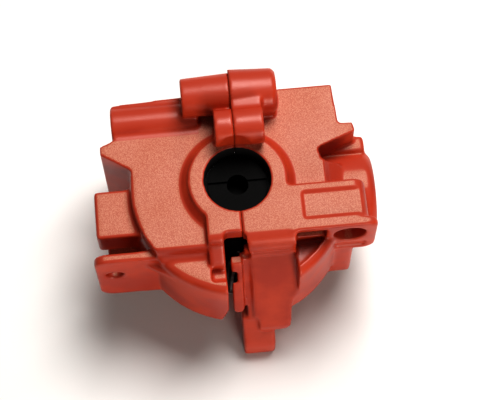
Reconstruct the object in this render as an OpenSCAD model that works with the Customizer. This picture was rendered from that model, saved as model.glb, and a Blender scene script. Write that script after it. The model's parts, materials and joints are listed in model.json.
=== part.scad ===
// Right-angle bevel gearbox in a two-piece moulded case, with its differential inside.
// The output axis is vertical and the input (pinion) axis is horizontal.
// Every sub-part is drawn about the point where the two axes cross, then place() moves it
// so that the origin is under the middle of the part, on the surface that it stands on.

/* [Case] */
// Radius of the output mouth
mouth_r = 8; // [7.5:0.1:8.3]
// Radius of the raised ring round the output mouth
ring_r = 12; // [11.8:0.1:12.5]
// Radius of that ring where it meets the plate
ring_foot_r = 13.8; // [13:0.1:14.5]
// Height of the ring face above the pinion axis
ring_h = 18.5; // [18:0.1:19]
// Height of the top plate above the pinion axis
plate_h = 15.5; // [15:0.1:16]
// Height of the front ledge above the pinion axis
ledge_h = 11.5; // [11:0.1:12]
// Outer radius of the drum that holds the crown gear
drum_r = 26.5; // [26:0.1:27]
// Rear edge of the plates, behind the output axis
rear_y = 24; // [23.8:0.1:24.5]
// Left edge of the left plate
left_plate_x = -29; // [-29.5:0.1:-28.5]
// Right edge of the right plate
right_plate_x = 25.6; // [25.2:0.1:26]
// Gap of the seam between the two halves
seam_gap = 0.12; // [0.05:0.01:0.2]
// Width of the open notch in the front of the left half
notch_w = 4.6; // [4:0.1:5]
// Where the notch starts, in front of the output axis
notch_y = -13.3; // [-14:0.1:-13]

/* [Mounting lugs] */
// Left end of the left mounting tab
left_tab_x = -36.1; // [-36.5:0.1:-35.5]
// Front face of the left mounting tab
left_tab_y = -16.1; // [-16.5:0.1:-16]
// Radius of the hole in the left mounting tab
left_tab_hole_r = 2.15; // [1.6:0.05:2.3]
// Right end of the right flange
flange_x = 32.4; // [32:0.1:33]
// Front face of the right flange
flange_y = -14.5; // [-14.8:0.1:-14.4]
// Radius of the hole in the right flange
flange_hole_r = 3.9; // [3.5:0.1:4.1]
// Front of the lower lug
lug_y = -31; // [-31.5:0.1:-30.5]

/* [Screw tubes] */
// Radius of the left end of the long upper tube
tube_left_r = 4.6; // [4.5:0.1:4.8]
// Radius of the right end of the long upper tube
tube_right_r = 5.4; // [5.2:0.1:5.6]
// How much wider both parts of that tube are at the seam than at their ends
tube_draft = 0.5; // [0.2:0.1:0.6]
// Distance of the long tube behind the output axis
tube_y = 21.3; // [21:0.1:21.5]
// Height of the long tube above the pinion axis
tube_h = 20.6; // [20.4:0.1:20.8]
// Radius of the short barrel
barrel_r = 4.45; // [4.3:0.05:4.5]
// Distance of the short barrel behind the output axis
barrel_y = 11.5; // [11.4:0.1:11.8]
// Height of the short barrel above the pinion axis
barrel_h = 22.95; // [22.9:0.05:23]
// Radius of the screw tube along the rear left edge
side_tube_r = 4.2; // [4:0.1:4.3]
// Distance of the rear left tube behind the output axis
side_tube_y = 18.7; // [18.6:0.1:18.8]
// Height of the rear left tube above the pinion axis
side_tube_h = 13.3; // [13.2:0.1:13.4]

/* [Pinion side] */
// Outer radius of the pinion boss
boss_r = 10.9; // [10.5:0.1:11]
// End face of the pinion boss
boss_x = 33.75; // [33.7:0.05:34]
// Radius of the socket in the end of the pinion shaft
input_socket_r = 2.5; // [2:0.1:2.6]
// Depth of that socket
input_socket_depth = 8; // [6:0.5:9]

/* [Gears] */
// Teeth of the crown gear
crown_teeth = 36; // [36:12:36]
// Teeth of the pinion
pinion_teeth = 12; // [12:12:12]
// Pitch radius of the crown gear at its outer end
crown_pitch_r = 20; // [19.5:0.1:20.2]
// Width of the crown gear's teeth along the cone
crown_face = 7; // [6:0.5:7]
// Teeth of each side gear
side_teeth = 16; // [16:4:16]
// Teeth of each planet gear
planet_teeth = 10; // [10:2:10]
// Pitch radius of a side gear at its outer end
side_pitch_r = 7.2; // [7:0.1:7.2]
// Width of the side and planet gears' teeth along the cone
side_face = 3; // [2.5:0.1:3]
// Play between meshing teeth, measured at the pitch line
backlash = 0.16; // [0.12:0.01:0.2]

/* [Differential] */
// Outer radius of the differential case
diff_r = 12.2; // [12:0.1:12.3]
// Inner radius of the differential case
diff_in_r = 10.6; // [10.5:0.1:10.7]
// Half of the height inside the differential
diff_in_h = 6.75; // [6.7:0.05:6.8]
// Half of the height of the differential without its journals
diff_h = 8.7; // [8.6:0.1:8.8]
// Radius of the outdrive shafts
outdrive_shaft_r = 4.5; // [4.4:0.05:4.5]
// Radius of the flange on each outdrive
outdrive_flange_r = 7.2; // [6.8:0.1:7.4]
// Height of the outdrive flange's face above the pinion axis
outdrive_face_h = 14.4; // [14.2:0.1:15]
// Radius of the socket in each outdrive
outdrive_socket_r = 2.6; // [2:0.1:2.7]
// Depth of the socket in each outdrive
outdrive_socket_depth = 6; // [4:0.5:6.5]
// Radius of the two crossed planet pins
cross_pin_r = 1.5; // [1.4:0.05:1.5]

/* [Hidden] */
$fn = 72;

case_red = [0.76, 0.25, 0.17];
steel = [0.62, 0.63, 0.65];
black_steel = [0.12, 0.12, 0.13];
gear_steel = [0.45, 0.46, 0.48];
seal_black = [0.05, 0.05, 0.05];
gasket_grey = [0.35, 0.36, 0.34];

// A size larger than the whole part, for cutting shapes
big = 120;
// A little extra, so that a cut passes its surface
over = 0.5;
// A hair's width, so that two faces never meet exactly
lip = 0.02;

// The part's box, which sets where the origin is
part_bottom = -(barrel_h + barrel_r);
part_rear = tube_y + tube_right_r + tube_draft;
centre_x = (boss_x + left_tab_x) / 2;
centre_y = (part_rear + lug_y) / 2;

// Output bearings: bore 12, outside 18, width 4
out_brg = [6, 9, 4];
out_brg_z = 11;
out_ball_r = 0.95;
out_balls = 16;
// Pinion bearings: bore 8, outside 16, width 5
pin_brg = [4, 8, 5];
front_brg_x = 29.9;
rear_brg_x = 24;
pin_ball_r = 1.5;
pin_balls = 9;
journal_r = out_brg[0];
journal_end = out_brg_z + out_brg[2] / 2 - 0.1;
running = 0.05;

// Hollow of the case: a wide part for the crown gear and a narrow, taller part
wide_cavity_r = 21.2;
wide_cavity_low = -10.1;
wide_cavity_high = 7;
tall_cavity_r = 15.5;
tall_cavity_h = 13.5;
seat_wall_r = 11.2;
seat_in_h = 8.9;
lip_h = out_brg_z + out_brg[2] / 2 + lip;
screw_bar_r = 2.6;

// The two plates end here: the left one at the ledge, the right one at the arm
ledge_y = -15;
arm_front_y = -13.8;
arm_rear_y = -2.5;
arm_x = 30.4;
arm_round = 3.6;
panel_depth = 0.6;
panel_x = 14.8;
flange_thick = 2.3;
flange_hole_x = 25.7;
flange_hole_z = 12.3;
left_tab_hole_x = -31.6;
left_tab_hole_z = 2;

boss_round = 1.6;

// Case screws
m3_r = 1.5;
m3_head_r = 2.75;
m3_head_h = 3;
m25_r = 1.25;
m25_head_r = 2.25;
m25_head_h = 2.5;
m2_r = 1;
m2_head_r = 1.9;
m2_head_h = 1.15;
tube_left_x = -11.8;
tube_right_x = 11.3;
tube_round = 0.9;
barrel_left_x = -4.5;
barrel_right_x = 7.3;
side_tube_inner_x = -8;
side_screw_end_x = 9;
web_top = 25.2;

// Bevel gears
crown_mod = 2 * crown_pitch_r / crown_teeth;
side_mod = 2 * side_pitch_r / side_teeth;
pressure = 20;
planet_angles = [0, 90, 180, 270];
crown_screw_r = 10.4;
crown_boss_r = 1.5;

// ---- shared shapes ----

module place() {
    translate([-centre_x, -centre_y, -part_bottom]) children();
}

// The child and its mirror image below the pinion axis
module both_sides() {
    children();
    mirror([0, 0, 1]) children();
}

// A cylinder along X from x1 to x2
module rod_x(x1, x2, r, y = 0, z = 0) {
    translate([x1, y, z]) rotate([0, 90, 0]) cylinder(h = x2 - x1, r = r);
}

// A cylinder along Y from y1 to y2
module rod_y(y1, y2, r, x = 0, z = 0) {
    translate([x, y2, z]) rotate([90, 0, 0]) cylinder(h = y2 - y1, r = r);
}

// A cone along X from x1 to x2
module cone_x(x1, x2, r1, r2, y = 0, z = 0) {
    translate([x1, y, z]) rotate([0, 90, 0]) cylinder(h = x2 - x1, r1 = r1, r2 = r2);
}

// A box between two corners
module block(low, high) {
    translate(low) cube(high - low);
}

// An outline in X and Z, pushed along Y from y1 to y2
module along_y(y1, y2) {
    translate([0, y2, 0]) rotate([90, 0, 0]) linear_extrude(y2 - y1) children();
}

// An outline in Y and Z, pushed along X from x1 to x2
module along_x(x1, x2) {
    translate([x1, 0, 0]) rotate([90, 0, 90]) linear_extrude(x2 - x1) children();
}

// Socket-head screw along +X with its head's outer face at x = 0
module screw_x(r, length, head_r, head_h) {
    difference() {
        union() {
            rod_x(0, head_h, head_r);
            rod_x(head_h - lip, head_h + length, r);
        }
        translate([-over, 0, 0]) rotate([0, 90, 0])
            cylinder(h = head_h * 0.6 + over, r = head_r * 0.5, $fn = 6);
    }
}

// ---- bevel gear teeth ----

function involute_deg(a) = tan(a) * 180 / PI - a;

// Half of a tooth's width, as an angle about the gear's axis, at height h over the pitch cone
function half_tooth(teeth, cone, mod, h) =
    let (virtual = teeth / cos(cone), rv = mod * virtual / 2, rb = rv * cos(pressure))
    let (a = rv + h > rb ? acos(rb / (rv + h)) : 0)
    let (play = backlash / (4 * rv) * 180 / PI)
    (90 / virtual + involute_deg(pressure) - involute_deg(a) - play) / cos(cone);

// A point at a distance from the apex, at height h over the pitch cone and angle t
function cone_point(dist, h, t, cone) =
    let (r = dist * sin(cone) + h * cos(cone), z = dist * cos(cone) - h * sin(cone))
    [r * cos(t), r * sin(t), z];

// The outline of all teeth: [angle, height over the pitch cone] for each point
function tooth_loop(teeth, cone, mod, steps) =
    let (low = -1.25 * mod)
    let (rise = [for (i = [0:steps]) low + (mod - low) * i / steps])
    let (flank = [for (h = rise) [-half_tooth(teeth, cone, mod, h), h]])
    let (tooth = concat(flank, [for (i = [steps:-1:0]) [-flank[i][0], flank[i][1]]]))
    [for (k = [0:teeth - 1]) for (p = tooth) [p[0] + 360 * k / teeth, p[1]]];

// Two triangles for each gap between points k and k + 1 of the stations a and b
function band(n, count, a, b) = [for (i = [0:n - 1])
    let (j = (i + 1) % n)
    each [
        [count * i + a, count * j + b, count * i + b],
        [count * i + a, count * j + a, count * j + b]
    ]];

// A bevel gear, its apex at the origin and its axis along +Z. Its body ends in two flat round
// faces, each given as [radius, height]. Without them it is only the toothed ring.
module bevel_gear(teeth, mate, mod, face, rim, front = undef, back = undef, steps = 3) {
    cone = atan(teeth / mate);
    outer = mod * teeth / 2 / sin(cone);
    share = (outer - face) / outer;
    base = -1.25 * mod - rim;
    loop = tooth_loop(teeth, cone, mod, steps);
    n = len(loop);
    ring = [for (p = loop) [
        cone_point(outer, p[1], p[0], cone),
        cone_point(outer * share, p[1] * share, p[0], cone),
        cone_point(outer * share, base * share, p[0], cone),
        cone_point(outer, base, p[0], cone)
    ]];
    if (front == undef)
        polyhedron([for (q = ring) each q],
            concat(band(n, 4, 0, 1), band(n, 4, 1, 2), band(n, 4, 2, 3), band(n, 4, 3, 0)));
    else
        polyhedron(
            [for (i = [0:n - 1]) let (c = cos(loop[i][0]), s = sin(loop[i][0])) each [
                ring[i][0], ring[i][1], ring[i][2],
                [front[0] * c, front[0] * s, front[1]],
                [back[0] * c, back[0] * s, back[1]],
                ring[i][3]
            ]],
            concat(band(n, 6, 0, 1), band(n, 6, 1, 2), band(n, 6, 2, 3), band(n, 6, 4, 5),
                band(n, 6, 5, 0), [[for (i = [0:n - 1]) 6 * i + 3]],
                [[for (i = [n - 1:-1:0]) 6 * i + 4]]));
}

// ---- bearings, drawn about the origin along Z ----

module race_groove(mid, ball_r) {
    rotate_extrude() translate([mid, 0]) circle(r = ball_r + 0.03, $fn = 48);
}

module outer_race(size, ball_r) {
    mid = (size[0] + size[1]) / 2;
    land = mid + ball_r * 0.58;
    difference() {
        cylinder(h = size[2], r = size[1], center = true);
        cylinder(h = size[2] + 1, r = land, center = true);
        race_groove(mid, ball_r);
    }
}

module inner_race(size, ball_r) {
    mid = (size[0] + size[1]) / 2;
    land = mid - ball_r * 0.58;
    difference() {
        cylinder(h = size[2], r = land, center = true);
        cylinder(h = size[2] + 1, r = size[0], center = true);
        race_groove(mid, ball_r);
    }
}

module ball_set(size, ball_r, count) {
    mid = (size[0] + size[1]) / 2;
    for (k = [0:count - 1])
        rotate([0, 0, 360 * k / count]) translate([mid, 0, 0]) sphere(r = ball_r, $fn = 32);
}

module seal_pair(size, ball_r) {
    mid = (size[0] + size[1]) / 2;
    thick = 0.35;
    both_sides() translate([0, 0, size[2] / 2 - thick - 0.05]) difference() {
        cylinder(h = thick, r = mid + ball_r * 0.58);
        translate([0, 0, -1]) cylinder(h = thick + 2, r = mid - ball_r * 0.58 + running);
    }
}

// Puts a bearing drawn along Z at height z on the output axis
module on_output(z) {
    place() translate([0, 0, z]) children();
}

// Puts a bearing drawn along Z at x on the pinion axis
module on_pinion(x) {
    place() translate([x, 0, 0]) rotate([0, 90, 0]) children();
}

// ---- the case ----

// The ring round the mouth, with the sloping foot that meets the plate
module mouth_ring() {
    translate([0, 0, plate_h - 1]) cylinder(h = 1 + lip, r = ring_foot_r);
    translate([0, 0, plate_h]) cylinder(h = 2, r1 = ring_foot_r, r2 = ring_r);
    translate([0, 0, plate_h]) cylinder(h = ring_h - plate_h, r = ring_r);
}

// The drum that holds the crown gear, with its upper rim rounded
module drum() {
    rim = 2.2;
    quarter = [for (a = [0:22.5:90]) [drum_r - rim + rim * cos(a), ledge_h - rim + rim * sin(a)]];
    rotate_extrude($fn = 96)
        polygon(concat([[0, -ledge_h], [drum_r, -ledge_h]], quarter, [[0, ledge_h]]));
}

// Everything that the case has to leave free: gears, bearings and both shafts
module case_hollow() {
    difference() {
        union() {
            translate([0, 0, wide_cavity_low])
                cylinder(h = wide_cavity_high - wide_cavity_low, r = wide_cavity_r);
            cylinder(h = 2 * tall_cavity_h, r = tall_cavity_r, center = true);
        }
        both_sides() translate([0, 0, seat_in_h])
            cylinder(h = tall_cavity_h, r = seat_wall_r);
        both_sides() rod_x(-big / 2, big / 2, screw_bar_r, side_tube_y, side_tube_h);
    }
    both_sides() translate([0, 0, seat_in_h - over])
        cylinder(h = lip_h - seat_in_h + over, r = out_brg[1] + lip);
    both_sides() cylinder(h = big / 2, r = mouth_r);
}

module left_outline() {
    polygon([
        [0, rear_y + 0.6], [left_plate_x, rear_y - 0.8], [left_plate_x, 14], [-32.4, 12.6],
        [-32.5, 10.5], [-25.9, 6.2], [-24.2, 3.6], [-23.6, 0], [0, 0]
    ]);
}

// The part of the drum that reaches up to the plate, behind the ledge
module left_drum_top() {
    intersection() {
        cylinder(h = 2 * plate_h, r = drum_r - 0.6, center = true);
        block([-drum_r - 1, ledge_y, -plate_h], [0, 6, plate_h]);
    }
}

// Sloped fillet between the plate and the ledge
module ledge_slope() {
    both_sides() intersection() {
        along_x(-20.8, -0.1) polygon([
            [ledge_y + 1, ledge_h - 1], [ledge_y + 1, plate_h], [ledge_y, plate_h],
            [ledge_y - 0.5, plate_h - 1], [ledge_y - 0.9, ledge_h + 1.2],
            [ledge_y - 2.2, ledge_h], [ledge_y - 2.2, ledge_h - 1]
        ]);
        cylinder(h = big, r = drum_r - 0.2, center = true);
    }
}

module left_neck() {
    round_r = 2.5;
    front = notch_y + 0.3;
    rib = [
        [-11, ledge_h - 3], [-11, ring_h], [front, ring_h],
        for (a = [70:-20:-10]) [front - round_r * cos(a), ring_h - round_r + round_r * sin(a)],
        [-18.7, 12.4], [-19.3, ledge_h - 0.2], [-19.5, ledge_h - 3]
    ];
    both_sides() {
        block([-8.4, notch_y, plate_h - 1], [0, -7, ring_h]);
        along_x(-8.4, -notch_w) polygon(rib);
    }
}

// Hollow in the ledge, in front of the rib
module rib_hollow() {
    both_sides() along_x(-8.1, 1) polygon([
        [-19.4, ledge_h + 1], [-19.5, 9.6], [-20.2, 9], [-22, 9], [-23.6, ledge_h + 1]
    ]);
}

// Square block on the left side of the drum
module left_block() {
    block([-35, -9.6, 2.5], [-20, 2.6, ledge_h]);
    block([-33.2, -15, -12], [-18, -4, -2]);
}

module left_tab() {
    tab_top = 12.1;
    tab_bottom = -12.3;
    corner = 3.2;
    thick = 2.4;
    along_y(left_tab_y, left_tab_y + thick) union() {
        translate([left_tab_x + corner, tab_bottom]) square([18, tab_top - tab_bottom]);
        translate([left_tab_x, tab_bottom + corner]) square([18, tab_top - tab_bottom - 2 * corner]);
        for (z = [tab_bottom + corner, tab_top - corner])
            translate([left_tab_x + corner, z]) circle(r = corner);
    }
    // Small gusset that runs from the tab to the drum
    translate([0, 0, 6.5]) linear_extrude(2.2)
        polygon([[-24, left_tab_y], [-17.2, -20.3], [-16.5, -18], [-18.2, left_tab_y]]);
}

// The left part of the long tube, the short barrel and the rear left tube
module left_tubes() {
    both_sides() {
        cone_x(tube_left_x, 0, tube_left_r, tube_left_r + tube_draft, tube_y, tube_h);
        block([tube_left_x + 0.4, 18.6, plate_h - 1], [0, rear_y, tube_h]);
        rod_x(barrel_left_x, 0, barrel_r, barrel_y, barrel_h);
        block([barrel_left_x + 0.4, 10.9, plate_h - 1], [0, 14.4, barrel_h - 1]);
        rod_x(left_plate_x - 0.4, side_tube_inner_x, side_tube_r, side_tube_y, side_tube_h);
    }
}

// Holes for the three pairs of case screws
module screw_holes() {
    both_sides() {
        rod_x(tube_left_x - over, tube_right_x - 2, m3_r, tube_y, tube_h);
        rod_x(tube_left_x - over, tube_left_x + m3_head_h + 0.6, m3_head_r + 0.15, tube_y, tube_h);
        rod_x(barrel_left_x - over, barrel_right_x - 1.5, m25_r, barrel_y, barrel_h);
        rod_x(barrel_left_x - over, barrel_left_x + m25_head_h + 0.2, m25_head_r + 0.1,
            barrel_y, barrel_h);
        rod_x(left_plate_x - 1, side_screw_end_x, m3_r, side_tube_y, side_tube_h);
        rod_x(left_plate_x - 1, left_plate_x + m3_head_h + 1, m3_head_r + 0.15,
            side_tube_y, side_tube_h);
    }
}

module left_case_half() color(case_red) place() difference() {
    union() {
        intersection() {
            union() {
                drum();
                translate([0, 0, -plate_h]) linear_extrude(2 * plate_h) left_outline();
                left_drum_top();
                ledge_slope();
                both_sides() mouth_ring();
            }
            block([-big, -big, -big], [-seam_gap / 2, big, big]);
        }
        left_neck();
        left_block();
        left_tab();
        left_tubes();
    }
    case_hollow();
    // Seam clearance and the open notch at the front
    block([-seam_gap / 2, -big, -big], [big, big, big]);
    block([-notch_w, -big, -big], [big, notch_y, big]);
    // The notch widens towards the bottom of the drum wall
    along_y(-big, -20) polygon([[-notch_w - 1, -big], [-notch_w - 1.6, -ledge_h],
        [-notch_w + 0.2, -2], [0, -2], [0, -big]]);
    rib_hollow();
    screw_holes();
    rod_y(left_tab_y - 1, left_tab_y + 3.5, left_tab_hole_r, left_tab_hole_x, left_tab_hole_z);
}

module right_outline() {
    polygon([
        [0, rear_y], [right_plate_x - 0.3, rear_y], [right_plate_x + 0.3, 13.6], [29.4, 13.3],
        [29.8, 11.1], [20.3, 7.5], [21.4, arm_rear_y - 0.5], [0, arm_rear_y - 0.5]
    ]);
}

// The arm that runs from the ring to the flange, with its rounded end
module right_arm() {
    difference() {
        union() {
            block([0, arm_front_y, plate_h - 3], [arm_x - arm_round, arm_rear_y, ring_h]);
            block([8, arm_front_y, 0], [arm_x, arm_rear_y, ring_h - arm_round]);
            rod_y(arm_front_y, arm_rear_y, arm_round, arm_x - arm_round, ring_h - arm_round);
        }
        // Recessed panel, open at the end of the arm
        block([panel_x, -11.6, ring_h - panel_depth], [big, -4.7, ring_h + 1]);
        // Pocket under the front strip
        block([12.6, flange_y - 1, ledge_h], [20, -9, plate_h + 1]);
    }
    // Lower block, the same shape without the flange
    block([8, arm_front_y, -ring_h + 1], [27.5, arm_rear_y - 2, 1]);
    block([0, -12, -ring_h], [14, arm_rear_y, -plate_h + 1]);
}

// Slope from the right plate down to the pinion boss
module boss_slope() {
    along_y(arm_rear_y - 1, 4.6) polygon([
        [18, 4], [18, plate_h], [21.2, plate_h], [22.4, 13.6], [25.6, boss_r], [25.6, 4]
    ]);
}

module right_flange() {
    corner = 2.4;
    bottom = 1.9;
    lip_top = 3.4;
    groove_top = 6.6;
    difference() {
        along_y(flange_y, flange_y + flange_thick) union() {
            translate([20, bottom]) square([flange_x - 20 - corner, ring_h - bottom]);
            translate([20, bottom + corner]) square([flange_x - 20, ring_h - bottom - 2 * corner]);
            for (z = [bottom + corner, ring_h - corner])
                translate([flange_x - corner, z]) circle(r = corner);
        }
        block([19, flange_y - 1, lip_top], [30, flange_y + 1.2, groove_top]);
    }
    // Strip over the pocket
    block([11.5, flange_y, ring_h - 2], [21, arm_front_y + 1, ring_h]);
    // Back of the lower lip, which carries it down to the block
    block([20, flange_y + 1, -1], [27.5, arm_front_y + 1, 3]);
}

module right_leg() {
    top_r = 4;
    front_top = -13;
    foot_right = 10.8;
    foot_r = 3.8;
    side = [
        [-8, ring_h], [front_top, ring_h],
        for (a = [75:-15:0]) [front_top - top_r * cos(a), ring_h - top_r + top_r * sin(a)],
        [-16.9, 12.4], [-16.2, 10.4], [-17.3, 9.2], [-28.4, -12.4], [-28.6, -14.8],
        [-27.4, -16], [-20, -16], [-14, 0], [-8, 9]
    ];
    front = [
        [0.6, ring_h + 1], [12.6, ring_h + 1], [12.4, 9], [foot_right + 0.1, -10],
        for (a = [0:-15:-90]) [foot_right - foot_r + foot_r * cos(a), foot_r - 16 + foot_r * sin(a)],
        [2.9, -16], [1.4, 9.6]
    ];
    intersection() {
        along_x(0, 14) polygon(side);
        along_y(-32, 0) polygon(front);
    }
}

// Wall kept behind the sloping face of the leg
module leg_wall() {
    along_x(-2, 13.5) polygon([
        [-40, 20], [-14.2, 20], [-14.2, 9], [-20.9, -4.2], [-40, -4.2]
    ]);
}

// Thin slanted tongue that reaches across the notch of the left half
module right_tongue() {
    top = 10.2;
    tip_r = 1.4;
    left = -3.4;
    right = -0.7;
    slab = [[-18.6, top], [-25.6, -8.2], [-23.4, -8.2], [-16.6, top]];
    intersection() {
        along_x(left - 1, 2) polygon(slab);
        along_y(-30, -10) union() {
            translate([left, -8 + tip_r]) square([right - left, top + 8]);
            translate([(left + right) / 2, -8 + tip_r]) circle(r = (right - left) / 2);
        }
    }
    // Web that joins the tongue to the leg, set back from both
    intersection() {
        along_x(-1.2, 2) polygon([for (p = slab) p + [1.4, -1]]);
        along_y(-30, -10) translate([-1.2, -7]) square([3.2, top + 7]);
    }
}

// Lug under the front of the drum, which the part stands on
module right_lug() {
    along_x(-1.4, 6.7) polygon([
        [-16, -ledge_h + 1], [-26, -ledge_h + 1], [-28.5, -16], [lug_y + 0.6, -19],
        [lug_y, -21], [lug_y, part_bottom + 1], [lug_y + 1, part_bottom],
        [-24.5, part_bottom], [-22, -20], [-16, -17.5]
    ]);
}

module right_tubes() {
    both_sides() {
        cone_x(0, tube_right_x - tube_round, tube_right_r + tube_draft, tube_right_r, tube_y, tube_h);
        cone_x(tube_right_x - tube_round, tube_right_x, tube_right_r, tube_right_r - tube_round,
            tube_y, tube_h);
        block([0, 16.8, plate_h - 1], [tube_right_x - 0.7, rear_y, tube_h]);
        rod_x(0, barrel_right_x, barrel_r, barrel_y, barrel_h);
        block([0, 10.9, plate_h - 1], [barrel_right_x - 0.4, 18.5, barrel_h - 1]);
        block([0, 14, plate_h - 1], [barrel_right_x, 18.4, web_top]);
    }
}

module right_case_half() color(case_red) place() difference() {
    union() {
        difference() {
            intersection() {
                union() {
                    drum();
                    translate([0, 0, -plate_h]) linear_extrude(2 * plate_h) right_outline();
                    both_sides() mouth_ring();
                }
                block([seam_gap / 2, -big, -big], [big, big, big]);
            }
            // The drum stops behind the sloping face of the leg
            along_x(0, 12.6) polygon([
                [-50, 50], [-17.2, 50], [-17.2, 9.8], [-28.2, -12.2], [-50, -12.2]
            ]);
            // Its face left of the leg is set back a little more
            along_x(0, 1.5) polygon([
                [-50, 50], [-15.8, 50], [-15.8, 9.8], [-26.4, -11], [-50, -11]
            ]);
            // Pocket in the ledge, between the leg and the flange
            intersection() {
                cylinder(h = big, r = drum_r - 2.2);
                block([12.6, -drum_r, 9], [21, arm_front_y, big]);
            }
            // Deep V between the plate and the pinion boss
            translate([0, 0, 3]) linear_extrude(big)
                polygon([[20.9, 7.7], [29.8, 11.1], [34, 8], [27, 4.6], [22, 4.6]]);
        }
        rod_x(18, boss_x - boss_round, boss_r);
        cone_x(boss_x - boss_round, boss_x, boss_r, boss_r - boss_round);
        boss_slope();
        block([22, 8.5, -8.5], [32.4, 12.6, 8.5]);
        intersection() {
            union() {
                right_arm();
                right_flange();
                right_tubes();
            }
            block([seam_gap / 2, -big, -big], [big, big, big]);
        }
        right_leg();
        right_tongue();
        right_lug();
    }
    difference() {
        case_hollow();
        leg_wall();
    }
    // Room for the pinion, its bearing seat and the lip at the end of the boss
    rod_x(0, 21.2, boss_r - 2.4);
    rod_x(21, front_brg_x + pin_brg[2] / 2 + lip, pin_brg[1] + lip);
    rod_x(21, big, 7);
    screw_holes();
    rod_y(flange_y - 1, flange_y + flange_thick + over, flange_hole_r,
        flange_hole_x, flange_hole_z);
    // Shallow clearance recess in the arm, behind the hole
    rod_y(flange_y + flange_thick, flange_y + 3.5, flange_hole_r + 0.2,
        flange_hole_x, flange_hole_z);
}

// ---- case screws ----

module tube_screws() color(steel) place() both_sides()
    translate([tube_left_x + 0.5, tube_y, tube_h])
        screw_x(m3_r, tube_right_x - 2.5 - tube_left_x - 0.5 - m3_head_h, m3_head_r, m3_head_h);

module barrel_screws() color(steel) place() both_sides()
    translate([barrel_left_x + 0.1, barrel_y, barrel_h])
        screw_x(m25_r, barrel_right_x - 2 - barrel_left_x - 0.1 - m25_head_h,
            m25_head_r, m25_head_h);

module side_tube_screws() color(steel) place() both_sides()
    translate([left_plate_x + 0.8, side_tube_y, side_tube_h])
        screw_x(m3_r, side_screw_end_x - 0.5 - left_plate_x - 0.8 - m3_head_h,
            m3_head_r, m3_head_h);

// ---- differential ----

// Where the four crown screws go
module at_crown_screws() {
    for (a = planet_angles) rotate([0, 0, a + 45]) translate([crown_screw_r, 0, 0]) children();
}

module differential_case() color(black_steel) place() difference() {
    union() {
        difference() {
            translate([0, 0, -diff_in_h + 0.4])
                cylinder(h = diff_h + diff_in_h - 0.4, r = diff_r);
            translate([0, 0, -diff_h]) cylinder(h = diff_h + diff_in_h, r = diff_in_r);
        }
        // Bosses for the crown screws, which stop just short of the gasket
        at_crown_screws() translate([0, 0, -diff_in_h + 0.45])
            cylinder(h = 2 * diff_in_h, r = crown_boss_r);
        translate([0, 0, diff_h - 0.5]) cylinder(h = journal_end - diff_h + 0.5, r = journal_r);
    }
    cylinder(h = big, r = outdrive_shaft_r + running);
    rod_x(-diff_r - 1, diff_r + 1, cross_pin_r);
    rod_y(-diff_r - 1, diff_r + 1, cross_pin_r);
    at_crown_screws() translate([0, 0, -diff_h]) cylinder(h = diff_h - 1, r = m2_r);
}

module crown_gear() color(gear_steel) place() difference() {
    union() {
        rotate([180, 0, 0])
            bevel_gear(crown_teeth, pinion_teeth, crown_mod, crown_face, 1, steps = 2);
        rotate_extrude() polygon([
            [4, -journal_end], [journal_r, -journal_end], [journal_r, -diff_h], [12.4, -diff_h],
            [13.4, -9.7], [19.6, -9.7], [20.1, -9.2], [20.1, -8.7], [19.35, -8.5],
            [12.95, -5.9], [12.9, -diff_in_h], [4, -diff_in_h]
        ]);
    }
    translate([0, 0, -big / 2]) cylinder(h = big, r = outdrive_shaft_r + running, center = true);
    at_crown_screws() translate([0, 0, -diff_h - 1]) cylinder(h = 5, r = m2_r);
    at_crown_screws() translate([0, 0, -diff_h - 1]) cylinder(h = 1 + 1.2, r = m2_head_r + 0.1);
}

module crown_screws() color(steel) place() at_crown_screws()
    translate([0, 0, -diff_h + 0.03]) rotate([0, -90, 0])
        screw_x(m2_r, 5.8, m2_head_r, m2_head_h);

module differential_gasket() color(gasket_grey) place() translate([0, 0, -diff_in_h])
    difference() {
        union() {
            difference() {
                cylinder(h = 0.4, r = diff_r);
                translate([0, 0, -1]) cylinder(h = 3, r = diff_in_r);
            }
            at_crown_screws() cylinder(h = 0.4, r = crown_boss_r);
        }
        at_crown_screws() translate([0, 0, -1]) cylinder(h = 3, r = m2_r + lip);
    }

// One of the two crossed pins, its middle cut down to half where they cross
module cross_pin() {
    difference() {
        rod_x(-diff_r + 0.1, diff_r - 0.1, cross_pin_r);
        block([-cross_pin_r - lip, -2, 0], [cross_pin_r + lip, 2, 2]);
    }
}

module long_cross_pin() color(steel) place() cross_pin();

module short_cross_pin() color(steel) place() rotate([0, 0, 90]) mirror([0, 0, 1]) cross_pin();

// A planet gear on its pin, at one of the four places round the output axis
module planet_gear(angle) color(gear_steel) place() rotate([0, 0, angle]) rotate([0, 90, 0])
    difference() {
        rotate([0, 0, 180 / planet_teeth])
            bevel_gear(planet_teeth, side_teeth, side_mod, side_face, 0.5, [2, 4.9], [2.9, 9.5]);
        translate([0, 0, -1]) cylinder(h = 20, r = cross_pin_r + running);
    }

module planet_gear_1() planet_gear(planet_angles[0]);
module planet_gear_2() planet_gear(planet_angles[1]);
module planet_gear_3() planet_gear(planet_angles[2]);
module planet_gear_4() planet_gear(planet_angles[3]);

// A side gear above the planets, with the slot for its drive pin
module side_gear() {
    shaft = 3;
    difference() {
        union() {
            bevel_gear(side_teeth, planet_teeth, side_mod, side_face, 0.8);
            rotate_extrude() polygon([
                [shaft - 0.5, 2.9], [4.1, 3.1], [4.4, 3.6], [6.3, 5.2],
                [6.6, 6.6], [shaft - 0.5, 6.6]
            ]);
        }
        cylinder(h = 20, r = shaft + lip);
        block([-4.8, -0.85, 4.9], [4.8, 0.85, 8]);
    }
}

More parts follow.
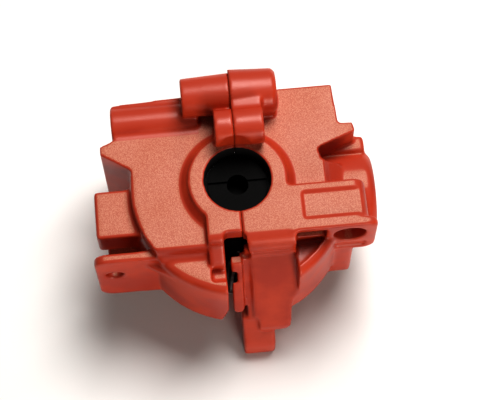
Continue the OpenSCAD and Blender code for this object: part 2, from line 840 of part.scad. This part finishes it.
module outdrive() {
    neck_top = journal_end + 0.4;
    difference() {
        union() {
            translate([0, 0, 2.2]) cylinder(h = 5, r = 3);
            translate([0, 0, 6.65]) cylinder(h = neck_top - 6.65, r = outdrive_shaft_r);
            translate([0, 0, neck_top - lip])
                cylinder(h = outdrive_face_h - neck_top + lip, r = outdrive_flange_r);
        }
        translate([0, 0, outdrive_face_h - outdrive_socket_depth])
            cylinder(h = 10, r = outdrive_socket_r);
        // Slot across the flange for the pin of the drive shaft
        block([-8, -1.1, outdrive_face_h - 0.7], [8, 1.1, 30]);
        rod_x(-6, 6, 0.8, 0, 5.75);
        // Groove of the oil seal
        translate([0, 0, 10]) difference() {
            cylinder(h = 1.1, r = 8);
            translate([0, 0, -1]) cylinder(h = 4, r = 3.45);
        }
    }
}

module drive_pin() rod_x(-4.6, 4.6, 0.8, 0, 5.75);

module oil_seal() translate([0, 0, 10.55]) rotate_extrude()
    translate([4, 0]) circle(r = 0.53, $fn = 24);

module upper_side_gear() color(gear_steel) place() side_gear();
module lower_side_gear() color(gear_steel) place() rotate([180, 0, 0]) side_gear();
module upper_outdrive() color(black_steel) place() outdrive();
module lower_outdrive() color(black_steel) place() rotate([180, 0, 0]) outdrive();
module upper_drive_pin() color(steel) place() drive_pin();
module lower_drive_pin() color(steel) place() rotate([180, 0, 0]) drive_pin();
module upper_oil_seal() color(seal_black) place() oil_seal();
module lower_oil_seal() color(seal_black) place() rotate([180, 0, 0]) oil_seal();

// ---- output bearings ----

module upper_bearing_outer_ring() color(steel) on_output(out_brg_z)
    outer_race(out_brg, out_ball_r);
module upper_bearing_inner_ring() color(steel) on_output(out_brg_z)
    inner_race(out_brg, out_ball_r);
module upper_bearing_balls() color(steel) on_output(out_brg_z)
    ball_set(out_brg, out_ball_r, out_balls);
module upper_bearing_seals() color(seal_black) on_output(out_brg_z)
    seal_pair(out_brg, out_ball_r);
module lower_bearing_outer_ring() color(steel) on_output(-out_brg_z)
    outer_race(out_brg, out_ball_r);
module lower_bearing_inner_ring() color(steel) on_output(-out_brg_z)
    inner_race(out_brg, out_ball_r);
module lower_bearing_balls() color(steel) on_output(-out_brg_z)
    ball_set(out_brg, out_ball_r, out_balls);
module lower_bearing_seals() color(seal_black) on_output(-out_brg_z)
    seal_pair(out_brg, out_ball_r);

// ---- pinion ----

module pinion_gear() color(gear_steel) place() difference() {
    union() {
        rotate([0, 90, 0]) rotate([0, 0, 180 / pinion_teeth])
            bevel_gear(pinion_teeth, crown_teeth, crown_mod, crown_face, 0.6, [2.9, 13.4],
                [4.9, rear_brg_x - pin_brg[2] / 2 - lip]);
        rod_x(21, 33.5, pin_brg[0]);
    }
    rod_x(33.5 - input_socket_depth, 34, input_socket_r);
    // Groove of the circlip
    difference() {
        rod_x(32.5, 33.1, 6);
        rod_x(32, 34, 3.5);
    }
}

module pinion_spacer() color(steel) place() difference() {
    rod_x(rear_brg_x + pin_brg[2] / 2 + lip, front_brg_x - pin_brg[2] / 2 - lip, 4.9);
    rod_x(20, 34, pin_brg[0] + lip);
}

module pinion_circlip() color(black_steel) place() difference() {
    rod_x(32.52, 33.08, 4.9);
    rod_x(32, 34, 3.52);
    block([32, -1.4, 0], [34, 1.4, 6]);
}

module front_pinion_bearing_outer_ring() color(steel) on_pinion(front_brg_x)
    outer_race(pin_brg, pin_ball_r);
module front_pinion_bearing_inner_ring() color(steel) on_pinion(front_brg_x)
    inner_race(pin_brg, pin_ball_r);
module front_pinion_bearing_balls() color(steel) on_pinion(front_brg_x)
    ball_set(pin_brg, pin_ball_r, pin_balls);
module front_pinion_bearing_seals() color(seal_black) on_pinion(front_brg_x)
    seal_pair(pin_brg, pin_ball_r);
module rear_pinion_bearing_outer_ring() color(steel) on_pinion(rear_brg_x)
    outer_race(pin_brg, pin_ball_r);
module rear_pinion_bearing_inner_ring() color(steel) on_pinion(rear_brg_x)
    inner_race(pin_brg, pin_ball_r);
module rear_pinion_bearing_balls() color(steel) on_pinion(rear_brg_x)
    ball_set(pin_brg, pin_ball_r, pin_balls);
module rear_pinion_bearing_seals() color(seal_black) on_pinion(rear_brg_x)
    seal_pair(pin_brg, pin_ball_r);

left_case_half();
right_case_half();
tube_screws();
barrel_screws();
side_tube_screws();
differential_case();
crown_gear();
crown_screws();
differential_gasket();
long_cross_pin();
short_cross_pin();
planet_gear_1();
planet_gear_2();
planet_gear_3();
planet_gear_4();
upper_side_gear();
lower_side_gear();
upper_outdrive();
lower_outdrive();
upper_drive_pin();
lower_drive_pin();
upper_oil_seal();
lower_oil_seal();
upper_bearing_outer_ring();
upper_bearing_inner_ring();
upper_bearing_balls();
upper_bearing_seals();
lower_bearing_outer_ring();
lower_bearing_inner_ring();
lower_bearing_balls();
lower_bearing_seals();
pinion_gear();
pinion_spacer();
pinion_circlip();
front_pinion_bearing_outer_ring();
front_pinion_bearing_inner_ring();
front_pinion_bearing_balls();
front_pinion_bearing_seals();
rear_pinion_bearing_outer_ring();
rear_pinion_bearing_inner_ring();
rear_pinion_bearing_balls();
rear_pinion_bearing_seals();
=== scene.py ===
"""Looks of the bevel gearbox: a red moulded case over steel gears, shafts and bearings."""

import json
import math

import bmesh
import bpy
import numpy as np
from mathutils import Matrix, Vector


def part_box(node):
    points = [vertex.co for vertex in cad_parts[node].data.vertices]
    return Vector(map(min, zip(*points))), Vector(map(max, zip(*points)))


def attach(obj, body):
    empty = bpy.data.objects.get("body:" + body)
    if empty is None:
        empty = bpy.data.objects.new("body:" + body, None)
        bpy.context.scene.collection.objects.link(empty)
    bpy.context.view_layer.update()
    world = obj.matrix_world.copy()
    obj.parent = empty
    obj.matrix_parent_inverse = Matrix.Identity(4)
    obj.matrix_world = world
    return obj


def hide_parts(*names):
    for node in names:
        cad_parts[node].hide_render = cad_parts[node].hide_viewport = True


MM = 0.001

# Camera: 500 x 400 frame, measured in degrees and millimetres
ELEVATION = 69.0
YAW = 5.5
DISTANCE = 382 * MM
LENS = 115.2
AIM_RIGHT = -2.985 * MM
AIM_UP = 5.133 * MM

# The case above the pinion axis
RING_HEIGHT = 18.5 * MM
MOUTH_RADIUS = 8.0 * MM
NOTCH_START = -13.6 * MM
SEAM_HALF = 0.06 * MM
TUBE_SEAM_HALF = 0.01 * MM
TUBE_START = 16.0 * MM

# How finely the case halves are rebuilt, and how far their edges are rounded
VOXEL = 0.4 * MM
EDGE_STEPS = 5
SOFT_STEPS = 24
BROKEN_EDGE = 0.08 * MM

# Contrast of the picture, the strength of the room's light, and the floor's half width
GAMMA = 0.75
ROOM_LIGHT = 0.1
FLOOR_HALF = 1.5

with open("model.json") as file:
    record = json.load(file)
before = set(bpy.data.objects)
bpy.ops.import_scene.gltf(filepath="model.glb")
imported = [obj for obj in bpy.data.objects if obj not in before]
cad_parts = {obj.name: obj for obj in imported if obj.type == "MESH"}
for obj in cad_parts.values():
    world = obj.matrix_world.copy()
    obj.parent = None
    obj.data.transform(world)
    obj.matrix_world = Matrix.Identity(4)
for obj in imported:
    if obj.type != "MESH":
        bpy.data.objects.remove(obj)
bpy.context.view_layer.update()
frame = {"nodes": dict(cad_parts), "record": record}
nodes = frame["nodes"]

low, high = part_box("upper_outdrive")
axis_x = (low.x + high.x) / 2
axis_y = (low.y + high.y) / 2
low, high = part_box("pinion_gear")
axis_z = (low.z + high.z) / 2
cross = Vector((axis_x, axis_y, axis_z))


# ---- materials ----


class Shader:
    """A material's node tree, with short calls for the nodes that this script uses."""

    def __init__(self, name):
        self.material = bpy.data.materials.new(name)
        self.material.use_nodes = True
        self.tree = self.material.node_tree
        self.surface = self.tree.nodes["Principled BSDF"]
        self.place = self.node("ShaderNodeTexCoord").outputs["Object"]

    def node(self, kind, **settings):
        made = self.tree.nodes.new(kind)
        for name, value in settings.items():
            setattr(made, name, value)
        return made

    def feed(self, socket, value):
        if isinstance(value, bpy.types.NodeSocket):
            self.tree.links.new(value, socket)
        else:
            socket.default_value = value

    def set(self, **values):
        for name, value in values.items():
            self.feed(self.surface.inputs[name.replace("_", " ")], value)

    def math(self, operation, a, b=0.0):
        made = self.node("ShaderNodeMath", operation=operation)
        self.feed(made.inputs[0], a)
        self.feed(made.inputs[1], b)
        return made.outputs[0]

    def noise(self, size, detail=3.0, roughness=0.5):
        """Noise whose grains are about size across, in metres."""
        made = self.node("ShaderNodeTexNoise")
        self.feed(made.inputs["Vector"], self.place)
        made.inputs["Scale"].default_value = 1 / size
        made.inputs["Detail"].default_value = detail
        made.inputs["Roughness"].default_value = roughness
        return made.outputs["Fac"]

    def between(self, value, start, end, low=0.0, high=1.0):
        """value from start to end becomes low to high, smoothly."""
        made = self.node("ShaderNodeMapRange", interpolation_type="SMOOTHSTEP")
        self.feed(made.inputs["Value"], value)
        made.inputs["From Min"].default_value = start
        made.inputs["From Max"].default_value = end
        made.inputs["To Min"].default_value = low
        made.inputs["To Max"].default_value = high
        return made.outputs[0]

    def blend(self, share, first, second):
        made = self.node("ShaderNodeMix", data_type="RGBA")
        self.feed(made.inputs[0], share)
        self.feed(made.inputs[6], first)
        self.feed(made.inputs[7], second)
        return made.outputs[2]

    def bump(self, height, depth):
        made = self.node("ShaderNodeBump")
        self.feed(made.inputs["Height"], height)
        made.inputs["Distance"].default_value = depth
        return made.outputs[0]


def moulded_red():
    """Spark-eroded plastic: flat faces are grainy and painted pale (painted sheen), rounded edges
    are smooth and deep; faces turned up are painted paler (painted sheen) and the mouths are
    painted black inside (painted shade).
    """
    s = Shader("moulded_red")
    split = s.node("ShaderNodeSeparateXYZ")
    s.feed(split.inputs[0], s.place)
    facing = s.node("ShaderNodeSeparateXYZ")
    s.feed(facing.inputs[0], s.node("ShaderNodeNewGeometry").outputs["Normal"])
    facing_up = s.math("ABSOLUTE", facing.outputs["Z"])
    across = s.math("SUBTRACT", split.outputs["X"], axis_x)
    along = s.math("SUBTRACT", split.outputs["Y"], axis_y)
    height = s.math("ABSOLUTE", s.math("SUBTRACT", split.outputs["Z"], axis_z))
    # The tubes above the rings, the side tube and the pocket beside the leg get less grain and no
    # painted sheen; the pocket stays deep red as painted shade under the arm.
    low_enough = s.between(height, RING_HEIGHT + 0.2 * MM, RING_HEIGHT + 0.5 * MM, 1.0, 0.0)
    right_of_leg = s.between(across, 12 * MM, 12.6 * MM)
    under_arm = s.between(height, 12 * MM, 14 * MM, 1.0, 0.0)
    in_front = s.between(along, -15 * MM, -13 * MM, 1.0, 0.0)
    painted_shade_pocket = s.math("MULTIPLY", s.math("MULTIPLY", right_of_leg, under_arm), in_front)
    behind = s.between(along, 13.5 * MM, 14 * MM)
    at_left = s.between(across, -8.5 * MM, -8 * MM, 1.0, 0.0)
    side_tube = s.math("MULTIPLY", behind, at_left)
    unsheened = s.math("MAXIMUM", painted_shade_pocket, side_tube)
    grain_and_sheen_zone = s.math("MULTIPLY", low_enough, s.math("SUBTRACT", 1.0, unsheened))
    flat = s.math("MULTIPLY", s.between(facing_up, 0.955, 0.995), grain_and_sheen_zone)
    grain = s.noise(0.2 * MM, detail=2.0)
    patch = s.noise(9 * MM, detail=3.0)
    deep = s.blend(s.between(patch, 0.35, 0.65), (0.4, 0.033, 0.009, 1), (0.5, 0.052, 0.014, 1))
    # Faces turned up are painted paler and less saturated: painted sheen.
    deep = s.blend(s.between(facing_up, 0.6, 0.95), deep, (0.44, 0.062, 0.032, 1))
    # Pale colour of the flat faces: painted sheen, over the grain's own speckle.
    grain_and_painted_sheen = s.blend(s.between(grain, 0.38, 0.64), (0.43, 0.116, 0.066, 1), (0.54, 0.215, 0.135, 1))
    red = s.blend(flat, deep, grain_and_painted_sheen)

    # The mouths are painted black inside: painted shade of the dark bore.
    squares = s.math("ADD", s.math("MULTIPLY", across, across), s.math("MULTIPLY", along, along))
    radius = s.math("SQRT", squares)
    above = s.between(height, RING_HEIGHT - 0.25 * MM, RING_HEIGHT - 0.1 * MM)
    beside = s.between(radius, MOUTH_RADIUS + 0.1 * MM, MOUTH_RADIUS + 0.3 * MM)
    outside_bore_shade = s.math("MAXIMUM", above, beside)
    colour = s.blend(outside_bore_shade, (0.004, 0.002, 0.002, 1), red)

    rough = s.math("ADD", s.math("MULTIPLY", flat, 0.16), s.between(patch, 0.2, 0.8, 0.3, 0.4))
    s.set(Base_Color=colour, Roughness=s.math("MAXIMUM", rough, s.between(outside_bore_shade, 0, 1, 0.9, 0.0)))
    s.set(Specular_IOR_Level=0.35)
    s.set(Normal=s.bump(s.math("MULTIPLY", grain, s.between(flat, 0, 1, 0.3, 1.0)), 0.035 * MM))
    return s.material


def machined(name, colour, dark, rough, depth=0.006 * MM):
    """Metal with fine tool marks, a little darker where oil has dried on it."""
    s = Shader(name)
    marks = s.noise(0.15 * MM, detail=4.0)
    stain = s.noise(3.5 * MM, detail=4.0, roughness=0.6)
    s.set(Base_Color=s.blend(s.between(stain, 0.42, 0.7), (*colour, 1), (*dark, 1)), Metallic=1.0)
    s.set(Roughness=s.math("ADD", s.between(marks, 0.2, 0.8, rough, rough + 0.14),
                           s.between(stain, 0.4, 0.8, 0.0, 0.12)))
    s.set(Normal=s.bump(marks, depth))
    return s.material


def black_oxide():
    """Blackened steel, dull, with faint brown where it is rubbed."""
    s = Shader("black_oxide")
    rub = s.noise(1.6 * MM, detail=5.0, roughness=0.65)
    grit = s.noise(0.12 * MM, detail=2.0)
    black = (0.0012, 0.001, 0.001, 1)
    rubbed = (0.004, 0.003, 0.003, 1)
    s.set(Base_Color=s.blend(s.between(rub, 0.55, 0.8), black, rubbed))
    s.set(Specular_IOR_Level=0.06)
    s.set(Roughness=s.between(grit, 0.2, 0.8, 0.5, 0.65), Normal=s.bump(grit, 0.008 * MM))
    return s.material


def rubber(name, colour, worn):
    """Matte rubber or fibre with a dusty bloom."""
    s = Shader(name)
    bloom = s.noise(1.1 * MM, detail=5.0)
    grit = s.noise(0.1 * MM, detail=2.0)
    s.set(Base_Color=s.blend(s.between(bloom, 0.5, 0.75), (*colour, 1), (*worn, 1)))
    s.set(Roughness=s.between(bloom, 0.3, 0.7, 0.6, 0.8), Specular_IOR_Level=0.2)
    s.set(Normal=s.bump(grit, 0.01 * MM))
    return s.material


case_red = moulded_red()
looks = {
    "steel": machined("ground_steel", (0.62, 0.62, 0.63), (0.36, 0.34, 0.32), 0.16),
    "gear_steel": machined("gear_steel", (0.42, 0.415, 0.41), (0.2, 0.185, 0.17), 0.26, 0.01 * MM),
    "black_steel": black_oxide(),
    "seal_black": rubber("seal_rubber", (0.003, 0.003, 0.003), (0.008, 0.007, 0.006)),
    "gasket_grey": rubber("gasket_fibre", (0.22, 0.225, 0.21), (0.3, 0.3, 0.28)),
}


# ---- the case ----


def grid_copy(node, name):
    """The node's shape rebuilt as an even grid, so that its edges can be rounded."""
    mesh = nodes[node].data.copy()
    piece = bpy.data.objects.new(name, mesh)
    bpy.context.scene.collection.objects.link(piece)
    welded = bmesh.new()
    welded.from_mesh(mesh)
    bmesh.ops.remove_doubles(welded, verts=welded.verts, dist=0.002 * MM)
    welded.to_mesh(mesh)
    welded.free()
    remesh = piece.modifiers.new("grid", "REMESH")
    remesh.mode = "VOXEL"
    remesh.voxel_size = VOXEL
    bake(piece)
    return piece


def bake(piece):
    """Applies the piece's modifiers to its mesh."""
    graph = bpy.context.evaluated_depsgraph_get()
    mesh = bpy.data.meshes.new_from_object(piece.evaluated_get(graph))
    piece.modifiers.clear()
    piece.data = mesh


def vertex_places(piece):
    places = np.empty(len(piece.data.vertices) * 3)
    piece.data.vertices.foreach_get("co", places)
    return places.reshape(-1, 3) - np.array(cross)


def weigh(piece, name, weights):
    """A vertex group whose weights are rounded to tenths."""
    group = piece.vertex_groups.new(name=name)
    steps = np.rint(weights * 10).astype(int)
    for step in range(1, 11):
        members = np.flatnonzero(steps == step)
        if len(members):
            group.add(members.tolist(), step / 10, "REPLACE")
    return group.name


def soften(piece, name, weights, steps):
    unsheened = piece.modifiers.new(name, "SMOOTH")
    unsheened.factor = 0.5
    unsheened.iterations = steps
    unsheened.vertex_group = weigh(piece, name, weights)


def close_seam(piece):
    """Moves the rounded edges along the seam back to its plane, so that it stays a thin line."""
    for vertex in piece.data.vertices:
        x, y, z = vertex.co - cross
        if abs(x) < 0.5 * MM and y > NOTCH_START:
            on_tube = y > TUBE_START and abs(z) > RING_HEIGHT
            gap = TUBE_SEAM_HALF if on_tube else SEAM_HALF
            vertex.co.x = axis_x + math.copysign(gap, x)


def ramp(values, start, width):
    """0 up to start, then rising to 1 over the width."""
    return np.clip((values - start) / width, 0, 1)


def moulded_half(node, name):
    """A case half with rounded edges, crisp only at the seam, the mouths and the arm's panel."""
    piece = grid_copy(node, name)
    # Millimetres from the crossing of the axes
    x, y, z = vertex_places(piece).T / MM
    seam = ramp(np.abs(x), 0.25, 0.6)
    tube_joint = (y > 16) & (np.abs(z) > 16) & (np.abs(x) < 1.3)
    seam = np.where(tube_joint, 0, seam)
    mouth = ramp(np.hypot(x, y), 8.3, 0.8)
    panel = np.where((x > 14) & (y > -12.4) & (y < -4) & (z > 17), 0.25, 1)
    soften(piece, "edges", np.minimum(seam, np.maximum(mouth, 0.25)) * panel, EDGE_STEPS)

    # Parts that are rounder than the rest
    boss = ramp(x, 29.5, 1.5) * (np.hypot(y, z) > 8)
    left_tab = 0.5 * ramp(-x, 24, 2) * (y < -10.5)
    left_block = ramp(-x, 23, 2) * (y > -10.5) * (y < 4)
    lower_block = (x > 22) * (y < -10.5) * ramp(-z, -0.5, 2)
    leg = 0.35 * (x > 1) * (x < 13) * (y < -19) * (z < 6)
    lug = 0.8 * ramp(-y, 26, 2) * (z < -17)
    rounder = np.maximum.reduce([boss, left_tab, left_block, lower_block, leg, lug])
    soften(piece, "corners", rounder, SOFT_STEPS)
    bake(piece)
    close_seam(piece)
    for polygon in piece.data.polygons:
        polygon.use_smooth = True
    piece.data.materials.clear()
    piece.data.materials.append(case_red)
    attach(piece, "case")
    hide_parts(node)
    return piece


left_half = moulded_half("left_case_half", "left_case_moulding")
right_half = moulded_half("right_case_half", "right_case_moulding")


# ---- the metal and rubber parts ----


def finish_node(node, look):
    """A CAD node keeps its shape, and gets broken edges and its material."""
    part = nodes[node]
    part.data.materials.clear()
    part.data.materials.append(look)
    bevel = part.modifiers.new("broken_edges", "BEVEL")
    bevel.width = BROKEN_EDGE
    bevel.segments = 2
    bevel.limit_method = "ANGLE"
    bevel.angle_limit = math.radians(35)
    bevel.use_clamp_overlap = True


slots = {entry["node"]: entry["material_slot"] for entry in frame["record"]["subparts"]}
for node, slot in slots.items():
    if slot in looks:
        finish_node(node, looks[slot])


# ---- floor, lights and camera ----


def floor():
    mesh = bpy.data.meshes.new("floor")
    turns = ((-1, -1), (1, -1), (1, 1), (-1, 1))
    corners = [(FLOOR_HALF * x, FLOOR_HALF * y, 0) for x, y in turns]
    mesh.from_pydata(corners, [], [(0, 1, 2, 3)])
    piece = bpy.data.objects.new("floor", mesh)
    bpy.context.scene.collection.objects.link(piece)
    s = Shader("white_paper")
    paper = s.blend(s.noise(30 * MM), (0.84, 0.835, 0.83, 1), (0.87, 0.865, 0.86, 1))
    s.set(Base_Color=paper, Roughness=0.8)
    mesh.materials.append(s.material)


def panel_light(name, azimuth, elevation, distance, size, power, colour):
    """A soft square light, aimed at the gearbox. Azimuth 90 is behind it."""
    light = bpy.data.lights.new(name, "AREA")
    light.size = size
    light.energy = power
    light.color = colour
    holder = bpy.data.objects.new(name, light)
    bpy.context.scene.collection.objects.link(holder)
    a = math.radians(azimuth)
    e = math.radians(elevation)
    away = Vector((math.cos(e) * math.cos(a), math.cos(e) * math.sin(a), math.sin(e)))
    aim = away.to_track_quat("Z", "Y").to_matrix().to_4x4()
    holder.matrix_world = Matrix.Translation(cross + away * distance) @ aim


def camera():
    """The camera looks down at the face of the upper ring."""
    e = math.radians(ELEVATION)
    turn = Matrix.Rotation(-math.radians(YAW), 3, "Z")
    forward = turn @ Vector((0, math.cos(e), -math.sin(e)))
    right = turn @ Vector((1, 0, 0))
    up = turn @ Vector((0, math.sin(e), math.cos(e)))
    aim = cross + Vector((0, 0, RING_HEIGHT))
    data = bpy.data.cameras.new("camera")
    data.sensor_width = 36
    data.lens = LENS
    data.clip_end = 10
    data.clip_start = 0.01
    holder = bpy.data.objects.new("camera", data)
    bpy.context.scene.collection.objects.link(holder)
    world = Matrix((right, up, -forward)).transposed().to_4x4()
    world.translation = aim - forward * DISTANCE - right * AIM_RIGHT - up * AIM_UP
    holder.matrix_world = world
    bpy.context.scene.camera = holder


floor()
panel_light("window", 56, 68, 0.6, 0.3, 5.0, (1.0, 0.98, 0.95))
panel_light("lamp", 286, 11, 0.7, 0.22, 3.0, (1.0, 0.95, 0.88))
camera()
world = bpy.data.worlds.new("room")
world.use_nodes = True
background = world.node_tree.nodes["Background"]
background.inputs["Color"].default_value = (1.0, 0.99, 0.98, 1)
background.inputs["Strength"].default_value = ROOM_LIGHT
bpy.context.scene.world = world
bpy.context.scene.view_settings.view_transform = "Standard"
bpy.context.scene.view_settings.gamma = GAMMA
